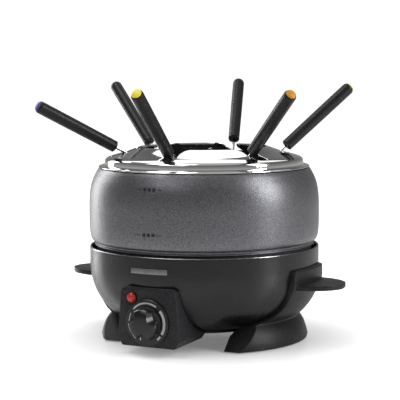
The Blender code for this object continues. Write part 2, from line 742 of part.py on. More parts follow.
# ================================================================ assembly
def add_base():
    place("base_bowl", build_bowl(), BLACK_PAINT)
    place("bottom_cover", build_bottom_cover(), BLACK_PLASTIC)
    frame = build_handle_frame()
    place("handle_frame_right", frame, BLACK_PLASTIC)
    place("handle_frame_left", frame, BLACK_PLASTIC, Matrix.Rotation(math.pi, 4, "Z"))
    place("control_box", build_control_box(), PANEL_PLASTIC)
    place("dial_ring", build_dial_ring(), BLACK_PLASTIC)
    place("lamp_bezel", build_lamp_bezel(), BLACK_PLASTIC)
    place("lamp_lens", build_lamp_lens(), RED_LENS)
    place("lamp_retainer", build_lamp_retainer(), ZINC_STEEL)
    place("badge_plate", build_badge(), ALUMINIUM)
    place("cord_inlet", build_cord_inlet(), RUBBER)
    pad = cylinder(PAD_R, (0, 0, 0), (0, 0, PAD_TOP_Z), 20)
    number = 0
    for side in (0, 180):
        for sign in (1, -1):
            number += 1
            x, y, _ = polar(PAD_ORBIT_R, side + sign * PAD_ANGLE, 0)
            place(f"rubber_foot_{number}", smooth(pad), RUBBER, Matrix.Translation((x * MM, y * MM, 0)))


def add_heater():
    place("heating_plate", build_heating_plate(), ALUMINIUM)
    place("heating_element", build_heating_element(), ZINC_STEEL)
    place("heat_shield", build_heat_shield(), ZINC_STEEL)
    body = box((-11, -98.8, 18), (11, -90.2, 34))
    bore = cylinder(SHAFT_R + GAP, (0, -100, DIAL_Z), (0, -92, DIAL_Z), 20)
    place("thermostat_body", combine(body, [bore]), CERAMIC)
    place("capillary_tube", build_capillary(), ZINC_STEEL)
    place("terminal_block", box((-10, 12, 13.9), (10, 24, 22)), CERAMIC)
    fuse = cylinder(2.0, (-9, 26, 49.6), (9, 26, 49.6), 16)
    place("thermal_fuse", smooth(fuse), CERAMIC)
    for number, angle in enumerate(POST_ANGLES, 1):
        place(f"plate_post_{number}", build_plate_post(angle), ZINC_STEEL)
        head_at = polar(POST_ORBIT_R, angle, COVER_UNDER_Z - GAP)
        mesh = screw(head_at, (0, 0, 1), 3.4, 1.8, 18.0)
        place(f"cover_screw_{number}", mesh, ZINC_STEEL)
    number = 0
    for side in (1, -1):
        for y in (FRAME_SCREW_Y, -FRAME_SCREW_Y):
            number += 1
            mesh = screw((side * 95.2, y, FRAME_SCREW_Z), (side, 0, 0), 3.0, 1.6, 6.2)
            place(f"frame_screw_{number}", mesh, ZINC_STEEL)


def add_pot_and_ring():
    place("pot", build_pot(), DARK_COATING)
    place("fork_ring", build_fork_ring(), STAINLESS)


def add_knob():
    """Knob and shaft hang on an empty that sits on the dial's axis."""
    pivot = bpy.data.objects.new("knob_pivot", None)
    PARTS.objects.link(pivot)
    pivot.location = (0, PANEL_Y * MM, DIAL_Z * MM)
    bpy.context.view_layer.update()
    back = pivot.matrix_world.inverted()
    place("knob", build_knob(), BLACK_PLASTIC, back, pivot)
    start = -PANEL_Y + 2 * GAP + DIAL_THICK
    shaft = cylinder(SHAFT_R, (0, -93, DIAL_Z), (0, -start - 6, DIAL_Z), 20)
    place("thermostat_shaft", smooth(shaft), ZINC_STEEL, back, pivot)


def add_forks():
    steel = build_fork_steel()
    handle = build_fork_handle()
    cap = build_fork_cap()
    for spec in FORKS:
        colour = spec[0]
        pivot = bpy.data.objects.new(f"fork_pivot_{colour}", None)
        PARTS.objects.link(pivot)
        pivot.matrix_world = fork_matrix(spec)
        place(f"fork_steel_{colour}", steel, STAINLESS, Matrix.Identity(4), pivot)
        place(f"fork_handle_{colour}", handle, BLACK_PLASTIC, Matrix.Identity(4), pivot)
        own = cap.copy()
        place(f"fork_cap_{colour}", own, material(f"cap_{colour}", CAP_COLOURS[colour], 0.35),
              Matrix.Identity(4), pivot)


add_base()
add_heater()
add_pot_and_ring()
add_knob()
add_forks()
bpy.context.view_layer.update()
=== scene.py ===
"""Looks of the electric fondue pot set: finer meshes, materials, studio and camera.

Lengths are millimetres in the CAD's own frame, Z up, control panel facing -Y; MM makes metres.
The studio's own sizes are metres.
"""
import json
import math

import bmesh
import bpy
from mathutils import Matrix, Quaternion, Vector


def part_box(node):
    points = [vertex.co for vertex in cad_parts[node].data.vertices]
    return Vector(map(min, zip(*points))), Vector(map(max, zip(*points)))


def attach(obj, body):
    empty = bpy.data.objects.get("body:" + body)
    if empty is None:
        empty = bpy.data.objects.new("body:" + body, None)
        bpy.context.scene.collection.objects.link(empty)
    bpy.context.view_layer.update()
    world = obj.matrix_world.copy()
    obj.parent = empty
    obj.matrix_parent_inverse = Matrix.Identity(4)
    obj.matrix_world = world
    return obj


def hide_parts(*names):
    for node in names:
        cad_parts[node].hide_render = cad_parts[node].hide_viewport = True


MM = 0.001
FINE = 192                 # steps of the large turned pieces
SMALL = 64                 # steps of the small ones
MERGE = 0.000005

# ---- camera --------------------------------------------------------------------
CAMERA_AZIMUTH = 27.1      # degrees from the panel's front, towards +X
CAMERA_ELEVATION = 5.64
CAMERA_DISTANCE = 1223
CAMERA_TARGET_Z = 118.9
CAMERA_LENS = 126.0
CAMERA_SHIFT_X = -0.0105
CAMERA_ROLL = -0.0045

# ---- sizes that follow the CAD ---------------------------------------------------
DIAL_Z = 27.5
DIAL_FRONT_Y = -104.0
KNOB_BACK_Y = -104.3
KNOB_R = 14.0
NOTCH_PHASE = -86.0
NOTCH_WIDTH = 11.0
NOTCH_END_R = 82.0
HANDLE_LENGTH = 79.0
FORK_COLOURS = ("yellow", "orange", "green", "blue", "red", "purple")

# ---- fill limits: height, wall radius and lean there, then offset, width, height of each mark ---
LEVELS = ((136.0, 97.5, -16.5), (99.0, 99.95, 2.5))
LEVEL_MARKS = ((-9.4, 4.0, 0.6), (-4.2, 2.6, 2.7), (0.0, 2.6, 2.7), (4.2, 2.6, 2.7),
               (9.4, 4.0, 0.6))
LEVEL_ANGLE = -90.0
LEVEL_DEPTH = 0.7

# ---- studio (metres, degrees, watts) ---------------------------------------------
FLOOR_RADIUS = 6.0
FLOOR_DROP = 0.0002
# the floor's glow rises between these radii, from a dim painted shade near the object to full
PAINTED_SHADE_RADII = (0.07, 0.20)
GLOW_PAINTED_SHADE_TO_FULL = (0.16, 0.85)
GLOW_UNSEEN = 0.15         # share of the glow that reaches the object
BACKGROUND = 1.05
LIGHT_TARGET_Z = 0.1
# from straight down (0) through the horizon (0.5) to straight up (1)
SKY_LEVELS = ((0.0, 0.26), (0.50, 0.30), (0.56, 0.24), (0.74, 0.13), (0.88, 0.22), (0.95, 0.50))
# azimuth, elevation, distance, size, power
SOFTBOXES = {
    "top_light": (-50, 68, 1.5, (0.8, 0.8), 9),
    "left_light": (-106, 18, 1.3, (0.4, 1.2), 9),
    "right_light": (94, 24, 1.3, (0.32, 1.0), 11),
    "back_light": (205, 46, 1.7, (1.5, 0.7), 5),
    "front_light": (-14, 40, 1.8, (0.9, 0.6), 3),
}

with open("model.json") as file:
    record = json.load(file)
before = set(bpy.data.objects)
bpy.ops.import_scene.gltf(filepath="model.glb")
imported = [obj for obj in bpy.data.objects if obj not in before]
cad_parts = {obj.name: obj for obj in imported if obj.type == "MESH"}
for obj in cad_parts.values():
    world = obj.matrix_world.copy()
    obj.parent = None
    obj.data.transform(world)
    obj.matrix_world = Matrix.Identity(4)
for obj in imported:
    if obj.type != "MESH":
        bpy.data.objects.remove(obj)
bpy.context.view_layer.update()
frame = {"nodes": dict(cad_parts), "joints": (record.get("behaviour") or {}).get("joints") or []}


# ================================================================ node materials
class Finish:
    """A Principled material built up from small procedural layers."""

    def __init__(self, name, colour, roughness, metallic=0.0):
        self.mat = bpy.data.materials.new(name)
        self.mat.use_nodes = True
        self.tree = self.mat.node_tree
        self.shader = self.tree.nodes["Principled BSDF"]
        self.set("Base Color", (*colour, 1.0))
        self.set("Roughness", roughness)
        self.set("Metallic", metallic)
        self.colour = colour
        self.coords = self.tree.nodes.new("ShaderNodeTexCoord").outputs["Object"]
        self.normal = None

    def set(self, socket, value):
        self.shader.inputs[socket].default_value = value
        return self

    def link(self, source, target):
        self.tree.links.new(source, target)

    def noise(self, scale, detail=2.0, roughness=0.5):
        node = self.tree.nodes.new("ShaderNodeTexNoise")
        node.inputs["Scale"].default_value = scale
        node.inputs["Detail"].default_value = detail
        node.inputs["Roughness"].default_value = roughness
        self.link(self.coords, node.inputs["Vector"])
        return node.outputs["Fac"]

    def spread(self, value, low, high):
        node = self.tree.nodes.new("ShaderNodeMapRange")
        node.inputs["From Min"].default_value = 0.3
        node.inputs["From Max"].default_value = 0.7
        node.inputs["To Min"].default_value = low
        node.inputs["To Max"].default_value = high
        self.link(value, node.inputs["Value"])
        return node.outputs["Result"]

    def mottle(self, scale, dark, light, detail=3.0):
        """Colour that drifts between two multiples of the base colour."""
        ramp = self.tree.nodes.new("ShaderNodeValToRGB")
        ramp.color_ramp.elements[0].position = 0.35
        ramp.color_ramp.elements[1].position = 0.65
        ramp.color_ramp.elements[0].color = (*[c * dark for c in self.colour], 1.0)
        ramp.color_ramp.elements[1].color = (*[min(c * light, 1.0) for c in self.colour], 1.0)
        self.link(self.noise(scale, detail), ramp.inputs["Fac"])
        self.link(ramp.outputs["Color"], self.shader.inputs["Base Color"])
        return self

    def wear(self, scale, low, high, detail=3.0):
        """Roughness that varies over the surface."""
        fac = self.spread(self.noise(scale, detail), low, high)
        self.link(fac, self.shader.inputs["Roughness"])
        return self

    def bump(self, height, distance, strength=1.0):
        node = self.tree.nodes.new("ShaderNodeBump")
        node.inputs["Distance"].default_value = distance
        node.inputs["Strength"].default_value = strength
        self.link(height, node.inputs["Height"])
        if self.normal is not None:
            self.link(self.normal, node.inputs["Normal"])
        self.normal = node.outputs["Normal"]
        self.link(self.normal, self.shader.inputs["Normal"])
        return self

    def grain(self, scale, distance, strength=1.0, detail=2.0):
        return self.bump(self.noise(scale, detail), distance, strength)

    def pebbles(self, scale, distance, strength=1.0):
        node = self.tree.nodes.new("ShaderNodeTexVoronoi")
        node.feature = "SMOOTH_F1"
        node.inputs["Scale"].default_value = scale
        self.link(self.coords, node.inputs["Vector"])
        return self.bump(node.outputs["Distance"], distance, strength)

    def rings(self, scale, distance, strength=1.0):
        """Turning marks around the Z axis."""
        node = self.tree.nodes.new("ShaderNodeTexWave")
        node.wave_type = "RINGS"
        node.rings_direction = "Z"
        node.inputs["Scale"].default_value = scale
        node.inputs["Distortion"].default_value = 0.6
        self.link(self.coords, node.inputs["Vector"])
        return self.bump(node.outputs["Fac"], distance, strength)


def coated_metal(name):
    """Dark grey hammered non-stick coat with a fine metallic fleck."""
    made = Finish(name, (0.134, 0.135, 0.144), 0.36, 0.75)
    made.mottle(1500, 0.55, 1.7).wear(1100, 0.28, 0.42)
    return made.pebbles(900, 0.00016, 0.7).grain(2200, 0.00007, 0.6)


def pot_lining(name):
    made = Finish(name, (0.020, 0.020, 0.021), 0.38)
    return made.mottle(500, 0.7, 1.4).wear(300, 0.30, 0.46).grain(1500, 0.00004, 0.4)


def enamel(name):
    """Deep black baked enamel with slight orange peel."""
    made = Finish(name, (0.006, 0.006, 0.007), 0.25)
    made.set("Specular IOR Level", 0.42)
    made.mottle(60, 0.8, 1.25).wear(45, 0.24, 0.33)
    return made.grain(160, 0.00006, 0.25).grain(1600, 0.00002, 0.3)


def grained_plastic(name, colour, low, high, depth=0.00010):
    made = Finish(name, colour, high)
    made.set("Specular IOR Level", 0.26)
    made.mottle(1100, 0.45, 2.0).wear(700, low, high)
    return made.pebbles(1000, depth, 0.5).grain(2600, depth * 0.4, 0.5)


def smooth_plastic(name, colour, low, high):
    made = Finish(name, colour, high)
    made.mottle(90, 0.9, 1.12).wear(150, low, high)
    return made.grain(900, 0.00002, 0.35)


def mirror_steel(name):
    made = Finish(name, (0.74, 0.74, 0.73), 0.05, 1.0)
    made.wear(70, 0.035, 0.075)
    return made.grain(25, 0.00012, 0.10)


def plain_steel(name, colour=(0.55, 0.55, 0.56), low=0.22, high=0.36):
    made = Finish(name, colour, high, 1.0)
    return made.mottle(220, 0.88, 1.08).wear(300, low, high).grain(1200, 0.00002, 0.3)


def turned_aluminium(name):
    made = Finish(name, (0.60, 0.60, 0.61), 0.34, 1.0)
    return made.mottle(150, 0.9, 1.08).wear(200, 0.28, 0.42).rings(420, 0.00005, 0.5)


def rubber(name):
    made = Finish(name, (0.018, 0.018, 0.018), 0.8)
    return made.mottle(300, 0.8, 1.3).wear(300, 0.7, 0.88).grain(1500, 0.00008, 0.5)


def lens(name):
    made = Finish(name, (0.56, 0.034, 0.024), 0.14)
    made.set("Subsurface Weight", 0.25)
    made.set("Emission Color", (0.6, 0.02, 0.01, 1.0))
    made.set("Emission Strength", 0.06)
    return made.mottle(350, 0.8, 1.15).wear(300, 0.10, 0.20)


COATING = coated_metal("pot_coating")
LINING = pot_lining("pot_lining")
ENAMEL = enamel("bowl_enamel")
# lighter steel for the black enamel bowl's rim: partly real gloss, partly a painted highlight on
# the rolled edge
RIM_PAINTED_HIGHLIGHT = plain_steel("bowl_rim_painted_highlight", (0.30, 0.30, 0.31), 0.18, 0.28)
MOULDED = grained_plastic("moulded_black", (0.012, 0.012, 0.013), 0.36, 0.50)
PANEL = grained_plastic("panel_charcoal", (0.017, 0.017, 0.019), 0.36, 0.48, 0.00005)
DIAL = smooth_plastic("dial_black", (0.007, 0.007, 0.008), 0.30, 0.38)
KNOB = smooth_plastic("knob_black", (0.007, 0.007, 0.008), 0.20, 0.28)
PRINT = smooth_plastic("pale_print", (0.55, 0.55, 0.54), 0.40, 0.55)
MIRROR = mirror_steel("mirror_steel")
FORK_STEEL = mirror_steel("fork_steel")
GRIP = grained_plastic("fork_grip", (0.007, 0.007, 0.008), 0.34, 0.46, 0.00006)
BADGE = plain_steel("badge_plate", (0.22, 0.22, 0.23), 0.34, 0.46)
ZINC = plain_steel("zinc_steel")
ALUMINIUM = turned_aluminium("turned_aluminium")
RUBBER = rubber("foot_rubber")
LENS = lens("red_lens")
CERAMIC = smooth_plastic("off_white_ceramic", (0.74, 0.72, 0.66), 0.40, 0.55)
CAPS = {
    "yellow": smooth_plastic("cap_yellow", (0.92, 0.74, 0.05), 0.40, 0.50),
    "orange": smooth_plastic("cap_orange", (0.62, 0.25, 0.004), 0.40, 0.50),
    "green": smooth_plastic("cap_green", (0.50, 0.66, 0.04), 0.40, 0.50),
    "blue": smooth_plastic("cap_blue", (0.03, 0.12, 0.55), 0.34, 0.44),
    "red": smooth_plastic("cap_red", (0.62, 0.03, 0.03), 0.34, 0.44),
    "purple": smooth_plastic("cap_purple", (0.10, 0.05, 0.24), 0.40, 0.50),
}


# ================================================================ mesh tools
def catmull(points, per_span=5):
    """A smooth open curve through (r, z) points."""
    padded = [points[0]] + list(points) + [points[-1]]
    out = []
    for i in range(1, len(padded) - 2):
        p0, p1, p2, p3 = (Vector(p) for p in padded[i - 1:i + 3])
        for k in range(per_span):
            t = k / per_span
            square = (2 * p0 - 5 * p1 + 4 * p2 - p3) * t * t
            cube = (3 * p1 - p0 - 3 * p2 + p3) * t ** 3
            out.append(tuple(0.5 * ((2 * p1) + (p2 - p0) * t + square + cube)))
    return out + [tuple(points[-1])]


def filleted(points, radius=0.4, steps=3, closed=False):
    """The outline with each corner rounded."""
    count = len(points)
    out = []
    for i, point in enumerate(points):
        if not closed and i in (0, count - 1):
            out.append(tuple(point))
            continue
        here = Vector(point)
        before = Vector(points[i - 1])
        after = Vector(points[(i + 1) % count])
        reach = min(radius, (before - here).length * 0.45, (after - here).length * 0.45)
        start = here + (before - here).normalized() * reach
        end = here + (after - here).normalized() * reach
        for k in range(steps + 1):
            t = k / steps
            out.append(tuple(start * (1 - t) ** 2 + here * 2 * t * (1 - t) + end * t * t))
    return out


def shaded(mesh, angle=32.0):
    mesh.shade_smooth()
    mesh.set_sharp_from_angle(angle=math.radians(angle))
    return mesh


def made_solid(bm):
    bmesh.ops.remove_doubles(bm, verts=bm.verts, dist=MERGE)
    bmesh.ops.recalc_face_normals(bm, faces=bm.faces)
    mesh = bpy.data.meshes.new("piece")
    bm.to_mesh(mesh)
    bm.free()
    return mesh


def turned(profile, steps, closed=False):
    """Revolve (r, z) millimetre points about Z."""
    bm = bmesh.new()
    verts = [bm.verts.new((r * MM, 0, z * MM)) for r, z in profile]
    edges = [bm.edges.new(pair) for pair in zip(verts, verts[1:])]
    if closed:
        edges.append(bm.edges.new((verts[-1], verts[0])))
    bmesh.ops.spin(bm, geom=verts + edges, axis=(0, 0, 1), cent=(0, 0, 0),
                   angle=math.tau, steps=steps, use_merge=True)
    return shaded(made_solid(bm))


def prism(outline, low, high):
    """Extrude a flat (x, y) millimetre outline between two heights."""
    bm = bmesh.new()
    rows = [[bm.verts.new((x * MM, y * MM, z * MM)) for x, y in outline] for z in (low, high)]
    bm.faces.new(rows[0])
    bm.faces.new(rows[1])
    for i in range(len(outline)):
        j = (i + 1) % len(outline)
        bm.faces.new((rows[0][i], rows[0][j], rows[1][j], rows[1][i]))
    return made_solid(bm)


def with_modifiers(mesh, add):
    """The mesh after modifiers that add() puts on a temporary object."""
    obj = bpy.data.objects.new("work", mesh)
    bpy.context.scene.collection.objects.link(obj)
    add(obj)
    bpy.context.view_layer.update()
    graph = bpy.context.evaluated_depsgraph_get()
    result = bpy.data.meshes.new_from_object(obj.evaluated_get(graph))
    bpy.data.objects.remove(obj, do_unlink=True)
    return result


def cut(mesh, cutters):
    """Subtract each cutter mesh."""
    tools = []
    for cutter in cutters:
        tool = bpy.data.objects.new("cutter", cutter)
        bpy.context.scene.collection.objects.link(tool)
        tools.append(tool)

    def add(obj):
        for tool in tools:
            modifier = obj.modifiers.new("cut", "BOOLEAN")
            modifier.operation = "DIFFERENCE"
            modifier.solver = "EXACT"
            modifier.object = tool
    result = with_modifiers(mesh, add)
    for tool in tools:
        bpy.data.objects.remove(tool, do_unlink=True)
    return result


def bevelled(mesh, width, segments=2, angle=32.0):
    """Rounded edges, so that they catch the light."""
    def add(obj):
        modifier = obj.modifiers.new("edge", "BEVEL")
        modifier.width = width * MM
        modifier.segments = segments
        modifier.limit_method = "ANGLE"
        modifier.angle_limit = math.radians(angle)
        modifier.harden_normals = False
        modifier.use_clamp_overlap = True
    return shaded(with_modifiers(mesh, add), angle)


def from_cad(node):
    """A welded, untriangulated copy of a CAD node's mesh."""
    bm = bmesh.new()
    bm.from_mesh(frame["nodes"][node].data)
    bmesh.ops.remove_doubles(bm, verts=bm.verts, dist=MERGE)
    bmesh.ops.dissolve_limit(bm, angle_limit=math.radians(0.6), verts=bm.verts, edges=bm.edges,
                             delimit={"NORMAL"})
    mesh = bpy.data.meshes.new(node)
    bm.to_mesh(mesh)
    bm.free()
    return shaded(mesh)


def piece(name, mesh, finish, body, nodes=(), matrix=None):
    """Link a mesh as a piece that rides on a CAD body."""
    if matrix is not None:
        mesh.transform(matrix)
    obj = bpy.data.objects.new(name, mesh)
    bpy.context.scene.collection.objects.link(obj)
    mesh.materials.clear()
    mesh.materials.append(finish.mat)
    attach(obj, body)
    if nodes:
        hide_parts(*nodes)
    return obj


# ================================================================ pot and ring
def add_pot():
    outside = catmull([(91.6, 148.0), (93.2, 145.6), (95.0, 142.2), (96.8, 138.2), (98.3, 133.2),
                       (99.3, 127.4), (99.9, 120.0), (100.0, 112.0), (100.0, 102.0), (99.7, 95.0),
                       (99.1, 90.2), (98.0, 87.1), (96.4, 85.5)])
    bead = filleted([(94.6, 84.9), (94.4, 83.7), (95.6, 83.3), (95.6, 82.4), (93.4, 81.8),
                     (93.2, 68.0), (90.6, 61.6), (84.0, 58.6)], 0.35)
    inside = catmull([(81.0, 61.6), (85.6, 62.8), (88.8, 66.4), (90.3, 72.0), (90.8, 82.0)])
    bulge = catmull([(91.4, 84.4), (95.6, 91.0), (97.1, 100.0), (97.2, 112.0), (96.6, 123.0),
                     (94.8, 132.0), (91.4, 140.4), (89.0, 146.4), (89.4, 147.9), (90.4, 148.2)], 4)
    profile = [(0.0, 61.6)] + inside + bulge + outside + bead + [(0.0, 58.6)]
    mesh = turned(profile, FINE)
    obj = piece("pot_body", mesh, COATING, "pot", ["pot"])
    mesh.materials.append(LINING.mat)
    for face in mesh.polygons:
        centre = face.center
        radius = math.hypot(centre.x, centre.y)
        inward = face.normal.x * centre.x + face.normal.y * centre.y < 0
        floor = face.normal.z > 0.9 and radius < 0.088
        if (inward and radius > 0.02 and centre.z > 0.0605) or floor:
            face.material_index = 1
    return obj


def add_level_marks():
    """Dash, three blocks, dash: raised marks at the fill limits, leaning with the wall."""
    bm = bmesh.new()
    for z, radius, lean in LEVELS:
        for centre, width, height in LEVEL_MARKS:
            angle = math.radians(LEVEL_ANGLE) + centre / radius
            turn = Matrix.Rotation(angle, 4, "Z") @ Matrix.Translation((radius * MM, 0, z * MM))
            turn = turn @ Matrix.Rotation(math.radians(lean), 4, "Y")
            size = Matrix.Diagonal((LEVEL_DEPTH * MM, width * MM, height * MM, 1.0))
            bmesh.ops.create_cube(bm, size=1.0, matrix=turn @ size)
    mesh = bevelled(made_solid(bm), 0.12)
    # the marks take the darker panel plastic, a painted shade standing in for the shadow round
    # their relief
    piece("pot_level_marks", mesh, PANEL, "pot")


def notch_outline():
    """One notch along +X: parallel sides, rounded end and a mouth that flares open."""
    half = NOTCH_WIDTH / 2
    corner = 3.2
    mouth = catmull([(48.0, -13.6), (52.0, -12.2), (55.5, -9.2), (58.5, -7.0), (62.5, -5.8),
                     (66.0, -half)], 4)
    end = []
    for centre_y, start in ((-half + corner, -90), (half - corner, 0)):
        for k in range(9):
            angle = math.radians(start + 90 * k / 8)
            end.append((NOTCH_END_R - corner + corner * math.cos(angle),
                        centre_y + corner * math.sin(angle)))
    half_outline = [(40.0, -14.0)] + mouth
    return half_outline + end + [(x, -y) for x, y in reversed(half_outline)]


def add_ring():
    top = catmull([(53.2, 164.6), (53.7, 165.7), (54.7, 166.1), (56.6, 165.8), (61.0, 164.2),
                   (66.5, 162.2), (72.0, 160.5), (77.5, 159.1), (82.0, 157.8), (84.4, 156.8),
                   (85.7, 155.6), (86.2, 154.0), (86.3, 151.0)], 5)
    lip = catmull([(86.9, 150.0), (88.6, 149.9), (90.6, 149.9), (91.5, 149.5), (91.6, 149.0),
                   (90.8, 148.6), (88.8, 148.6), (87.0, 148.5), (86.3, 147.9), (86.2, 146.6)], 3)
    under = [(86.2, 142.1), (85.9, 142.0), (85.4, 142.0), (85.2, 142.2)]
    inner = catmull([(85.2, 153.6), (84.6, 154.9), (83.2, 155.9), (79.6, 157.2), (74.0, 158.9),
                     (68.0, 160.6), (62.0, 162.8), (56.6, 164.7), (54.9, 164.9), (54.2, 164.2),
                     (53.6, 163.9)], 4)
    shell = turned(top + lip + under + inner, FINE, closed=True)
    notches = []
    for i in range(6):
        notch = prism(notch_outline(), 138, 180)
        notch.transform(Matrix.Rotation(math.radians(NOTCH_PHASE + 60 * i), 4, "Z"))
        notches.append(notch)
    mesh = bevelled(cut(shell, notches), 0.22, 2, 40.0)
    piece("steel_fork_ring", mesh, MIRROR, "ring", ["fork_ring"])


# ================================================================ base
def add_bowl():
    def quarter(offset, count):
        points = []
        for k in range(count + 1):
            angle = math.pi / 2 * k / count
            points.append((55 + (44.8 + offset) * math.cos(angle),
                           66 - (51 + offset) * math.sin(angle)))
        return points
    rim = filleted([(98.3, 80.3), (98.5, 80.8), (99.4, 80.8), (99.8, 80.2), (99.8, 78.0)], 0.4, 4)
    profile = rim + quarter(0.0, 28) + [(44.0, 15.0), (44.0, 16.6)]
    profile += list(reversed(quarter(-1.6, 20)))
    mesh = turned(profile, FINE, closed=True)
    piece("bowl_shell", mesh, ENAMEL, "base", ["base_bowl"])
    # the rim's top faces take the lighter steel, partly real gloss and partly a painted highlight
    # along the edge
    mesh.materials.append(RIM_PAINTED_HIGHLIGHT.mat)
    for face in mesh.polygons:
        if face.center.z > 0.0801:
            face.material_index = 1


def add_dial_marks():
    """Printed arcs of the temperature scale, with blocks in place of words."""
    y = DIAL_FRONT_Y

    def band(start, end, inner, outer):
        bm = bmesh.new()
        count = max(2, int(abs(end - start) / 3))
        rows = []
        for k in range(count + 1):
            angle = math.radians(start + (end - start) * k / count)
            row = []
            for radius, depth in ((inner, 0.0), (outer, 0.0), (outer, 0.08), (inner, 0.08)):
                row.append(bm.verts.new((radius * math.cos(angle) * MM, (y - depth) * MM,
                                         (DIAL_Z + radius * math.sin(angle)) * MM)))
            rows.append(row)
        for a, b in zip(rows, rows[1:]):
            for i in range(4):
                j = (i + 1) % 4
                bm.faces.new((a[i], a[j], b[j], b[i]))
        bm.faces.new(rows[0])
        bm.faces.new(rows[-1])
        return made_solid(bm)
    marks = (
        ("scale_arc_low", 211, 153, 15.9, 16.6),
        ("scale_arc_middle", 138, 57, 15.6, 17.0),
        ("scale_arc_high", 41, -31, 15.2, 17.4),
        ("scale_block_off", 233, 219, 15.4, 17.2),
        ("scale_block_top", -39, -53, 15.4, 17.2),
    )
    for name, start, end, inner, outer in marks:
        piece(name, shaded(band(start, end, inner, outer)), PRINT, "base")


def add_knob():
    depth = 11.0
    profile = catmull([(0.0, depth), (4.5, depth - 0.12), (8.4, depth - 0.55), (11.2, depth - 1.7),
                       (12.6, depth - 3.4), (13.3, depth - 6.0), (13.7, depth - 8.2)], 5)
    profile += filleted([(13.9, 1.6), (KNOB_R, 1.2), (KNOB_R, 0.0), (10.0, 0.0)], 0.3)[1:]
    profile += [(0.0, 0.0)]
    body = turned(profile, 96)
    scoops = []
    for angle in (90, 210, 330):
        scoop = turned([(0.0, 3.0), (5.4, 3.0), (9.6, 15.8), (0.0, 15.8)], SMALL)
        x = 15.2 * math.cos(math.radians(angle))
        z = 15.2 * math.sin(math.radians(angle))
        scoop.transform(Matrix.Translation((x * MM, -z * MM, 0)))
        scoops.append(scoop)
    mesh = bevelled(cut(body, scoops), 0.7, 4, 34.0)
    place = Matrix.Translation((0, KNOB_BACK_Y * MM, DIAL_Z * MM))
    mesh.transform(place @ Matrix.Rotation(math.pi / 2, 4, "X"))
    piece("knob_grip", mesh, KNOB, "knob", ["knob"])


def add_pointer():
    """A short pale line on the knob's face, near its lower edge."""
    bm = bmesh.new()
    place = Matrix.Translation((0, (KNOB_BACK_Y - 9.9) * MM, (DIAL_Z - 11.0) * MM))
    size = Matrix.Diagonal((0.7 * MM, 0.4 * MM, 2.4 * MM, 1))
    bmesh.ops.create_cube(bm, size=1.0, matrix=place @ size)
    piece("knob_pointer", bevelled(made_solid(bm), 0.1), PRINT, "knob")


# ================================================================ forks
def fork_axis(colour):
    """Where the handle's lower end is, and the direction up the fork."""
    joint = next(j for j in frame["joints"] if j["child"] == "fork_" + colour)
    axis = Vector(joint["axis"]).normalized()
    points = [v.co for v in frame["nodes"]["fork_handle_" + colour].data.vertices]
    low, high = (f(points, key=lambda p: p.dot(axis)).dot(axis) for f in (min, max))
    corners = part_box("fork_handle_" + colour)
    centre = (corners[0] + corners[1]) / 2
    return centre + axis * (low - (low + high) / 2), axis


def add_fork(colour):
    """Grip a little slimmer than the CAD handle, coloured end cap, and the CAD's own stem."""
    body = "fork_" + colour
    start, axis = fork_axis(colour)
    lean = Vector((0, 0, 1)).rotation_difference(axis)
    matrix = Matrix.Translation(start) @ lean.to_matrix().to_4x4()
    side = catmull([(5.05, 1.2), (5.1, 10.0), (5.25, 35.0), (5.3, 55.0), (5.3, 70.0),
                    (5.26, 76.6)], 4)
    end = filleted([(5.2, 77.4), (4.85, 78.4), (4.2, HANDLE_LENGTH), (4.0, 78.2)], 0.3)
    lower = filleted([(0.0, 0.25), (1.6, 0.25), (1.7, 0.0), (4.4, 0.0), (5.1, 0.7)], 0.4)
    profile = list(reversed(end)) + list(reversed(side)) + list(reversed(lower[1:]))
    profile = [(0.0, 73.0), (4.0, 73.0)] + profile + [(0.0, 0.25)]
    piece("grip_" + colour, turned(profile, SMALL), GRIP, body,
          ["fork_handle_" + colour], matrix)
    button = [(0.0, 80.75)] + catmull([(1.6, 80.65), (3.1, 80.2), (4.0, 79.7), (4.25, 79.3)], 4)
    button += [(3.9, 79.05), (3.7, 78.6), (3.7, 73.6), (0.0, 73.6)]
    piece("end_cap_" + colour, turned(button, SMALL), CAPS[colour], body,
          ["fork_cap_" + colour], matrix)
    piece("stem_" + colour, bevelled(from_cad("fork_steel_" + colour), 0.15), FORK_STEEL, body,
          ["fork_steel_" + colour])


# ================================================================ other CAD nodes
def add_refined():
    """CAD shapes that are right already, with rounded edges and a real finish."""
    plan = [
        ("handle_frame_right", MOULDED, "edge_plastic", 0.9),
        ("handle_frame_left", MOULDED, "edge_plastic", 0.9),
        ("control_box", PANEL, "panel_plastic", 0.9),
        ("dial_ring", DIAL, "dial_plastic", 0.2),
        ("bottom_cover", MOULDED, "edge_plastic", 0.3),
        ("lamp_bezel", DIAL, "dial_plastic", 0.15),
        ("lamp_lens", LENS, "lens", 0.0),
        ("lamp_retainer", ZINC, "zinc_steel", 0.15),
        ("badge_plate", BADGE, "badge", 0.2),
        ("cord_inlet", RUBBER, "rubber", 0.3),
        ("heating_plate", ALUMINIUM, "aluminium", 0.3),
        ("heating_element", ZINC, "zinc_steel", 0.0),
        ("heat_shield", ZINC, "zinc_steel", 0.0),
        ("thermostat_body", CERAMIC, "ceramic", 0.4),
        ("capillary_tube", ZINC, "zinc_steel", 0.0),
        ("terminal_block", CERAMIC, "ceramic", 0.5),
        ("thermal_fuse", CERAMIC, "ceramic", 0.3),
    ]
    for group, count in (("plate_post", 3), ("cover_screw", 3), ("frame_screw", 4)):
        plan += [(f"{group}_{k + 1}", ZINC, "zinc_steel", 0.2) for k in range(count)]
    plan += [(f"rubber_foot_{k + 1}", RUBBER, "rubber", 0.3) for k in range(4)]
    for node, finish, slot, width in plan:
        mesh = from_cad(node)
        if width:
            mesh = bevelled(mesh, width, 3)
        piece(node + "_finished", mesh, finish, "base", [node])
    piece("thermostat_shaft_finished", bevelled(from_cad("thermostat_shaft"), 0.3), ZINC, "knob",
          ["thermostat_shaft"])


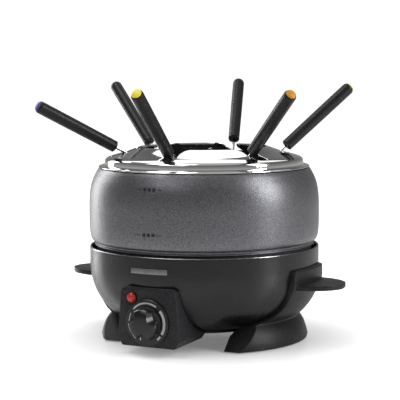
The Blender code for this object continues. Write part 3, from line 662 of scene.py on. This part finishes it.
# ================================================================ studio
def add_floor():
    """Pale floor. Its glow is dimmed near the object, a painted shade round its feet beside the
    contact shadow, and only a small share of the glow lights the object."""
    bm = bmesh.new()
    bmesh.ops.create_circle(bm, cap_ends=True, segments=96, radius=FLOOR_RADIUS)
    mesh = made_solid(bm)
    floor = bpy.data.objects.new("floor", mesh)
    bpy.context.scene.collection.objects.link(floor)
    finish = Finish("floor_white_painted_shade", (0.90, 0.90, 0.90), 0.10)
    finish.set("Specular IOR Level", 0.5)
    finish.set("Emission Color", (1.0, 1.0, 1.0, 1.0))
    finish.wear(4, 0.08, 0.11)
    tree = finish.mat.node_tree
    distance = tree.nodes.new("ShaderNodeVectorMath")
    distance.operation = "LENGTH"
    tree.links.new(tree.nodes.new("ShaderNodeTexCoord").outputs["Object"], distance.inputs[0])
    # painted shade: a weaker glow near the object darkens the floor under and around it
    glow = tree.nodes.new("ShaderNodeMapRange")
    glow.inputs["From Min"].default_value = PAINTED_SHADE_RADII[0]
    glow.inputs["From Max"].default_value = PAINTED_SHADE_RADII[1]
    glow.inputs["To Min"].default_value = GLOW_PAINTED_SHADE_TO_FULL[0]
    glow.inputs["To Max"].default_value = GLOW_PAINTED_SHADE_TO_FULL[1]
    tree.links.new(distance.outputs["Value"], glow.inputs["Value"])
    seen = tree.nodes.new("ShaderNodeMapRange")
    seen.inputs["To Min"].default_value = GLOW_UNSEEN
    path = tree.nodes.new("ShaderNodeLightPath")
    tree.links.new(path.outputs["Is Camera Ray"], seen.inputs["Value"])
    strength = tree.nodes.new("ShaderNodeMath")
    strength.operation = "MULTIPLY"
    tree.links.new(glow.outputs["Result"], strength.inputs[0])
    tree.links.new(seen.outputs["Result"], strength.inputs[1])
    tree.links.new(strength.outputs["Value"], finish.shader.inputs["Emission Strength"])
    mesh.materials.append(finish.mat)
    floor.location.z = -FLOOR_DROP


def direction(azimuth, elevation):
    """Unit vector away from the object; azimuth 0 is in front of the panel."""
    azimuth = math.radians(azimuth)
    elevation = math.radians(elevation)
    return Vector((math.sin(azimuth) * math.cos(elevation),
                   -math.cos(azimuth) * math.cos(elevation), math.sin(elevation)))


def add_softbox(name, azimuth, elevation, distance, size, power):
    """An area light aimed at the pot."""
    light = bpy.data.lights.new(name, "AREA")
    light.shape = "RECTANGLE"
    light.size = size[0]
    light.size_y = size[1]
    light.energy = power
    obj = bpy.data.objects.new(name, light)
    bpy.context.scene.collection.objects.link(obj)
    away = direction(azimuth, elevation)
    obj.location = Vector((0, 0, LIGHT_TARGET_Z)) + away * distance
    obj.rotation_euler = away.to_track_quat("Z", "Y").to_euler()


def add_world():
    """White to the camera. The object sees a grey sky, brightest overhead and dimmest between
    there and the horizon."""
    world = bpy.data.worlds.new("studio")
    bpy.context.scene.world = world
    world.use_nodes = True
    tree = world.node_tree
    background = tree.nodes["Background"]
    split = tree.nodes.new("ShaderNodeSeparateXYZ")
    tree.links.new(tree.nodes.new("ShaderNodeTexCoord").outputs["Generated"], split.inputs[0])
    height = tree.nodes.new("ShaderNodeMapRange")
    height.inputs["From Min"].default_value = -1.0
    tree.links.new(split.outputs["Z"], height.inputs["Value"])
    sky = tree.nodes.new("ShaderNodeValToRGB")
    ramp = sky.color_ramp
    tree.links.new(height.outputs["Result"], sky.inputs["Fac"])
    for index, (position, value) in enumerate(SKY_LEVELS):
        stop = ramp.elements[index] if index < 2 else ramp.elements.new(position)
        stop.position = position
        stop.color = (value, value, value, 1.0)
    path = tree.nodes.new("ShaderNodeLightPath")
    mix = tree.nodes.new("ShaderNodeMixRGB")
    mix.inputs["Color2"].default_value = (BACKGROUND, BACKGROUND, BACKGROUND, 1.0)
    tree.links.new(path.outputs["Is Camera Ray"], mix.inputs["Fac"])
    tree.links.new(sky.outputs["Color"], mix.inputs["Color1"])
    tree.links.new(mix.outputs["Color"], background.inputs["Color"])
    bpy.context.scene.view_settings.view_transform = "Standard"


def add_camera():
    data = bpy.data.cameras.new("camera")
    data.lens = CAMERA_LENS
    data.sensor_width = 36.0
    data.shift_x = CAMERA_SHIFT_X
    data.clip_end = 50.0
    camera = bpy.data.objects.new("camera", data)
    bpy.context.scene.collection.objects.link(camera)
    away = direction(CAMERA_AZIMUTH, CAMERA_ELEVATION)
    camera.location = Vector((0, 0, CAMERA_TARGET_Z * MM)) + away * CAMERA_DISTANCE * MM
    camera.rotation_mode = "QUATERNION"
    camera.rotation_quaternion = away.to_track_quat("Z", "Y") @ Quaternion((0, 0, 1), CAMERA_ROLL)
    bpy.context.scene.camera = camera


add_pot()
add_level_marks()
add_ring()
add_bowl()
add_dial_marks()
add_knob()
add_pointer()
for fork_colour in FORK_COLOURS:
    add_fork(fork_colour)
add_refined()
add_floor()
for light_name, placing in SOFTBOXES.items():
    add_softbox(light_name, *placing)
add_world()
add_camera()
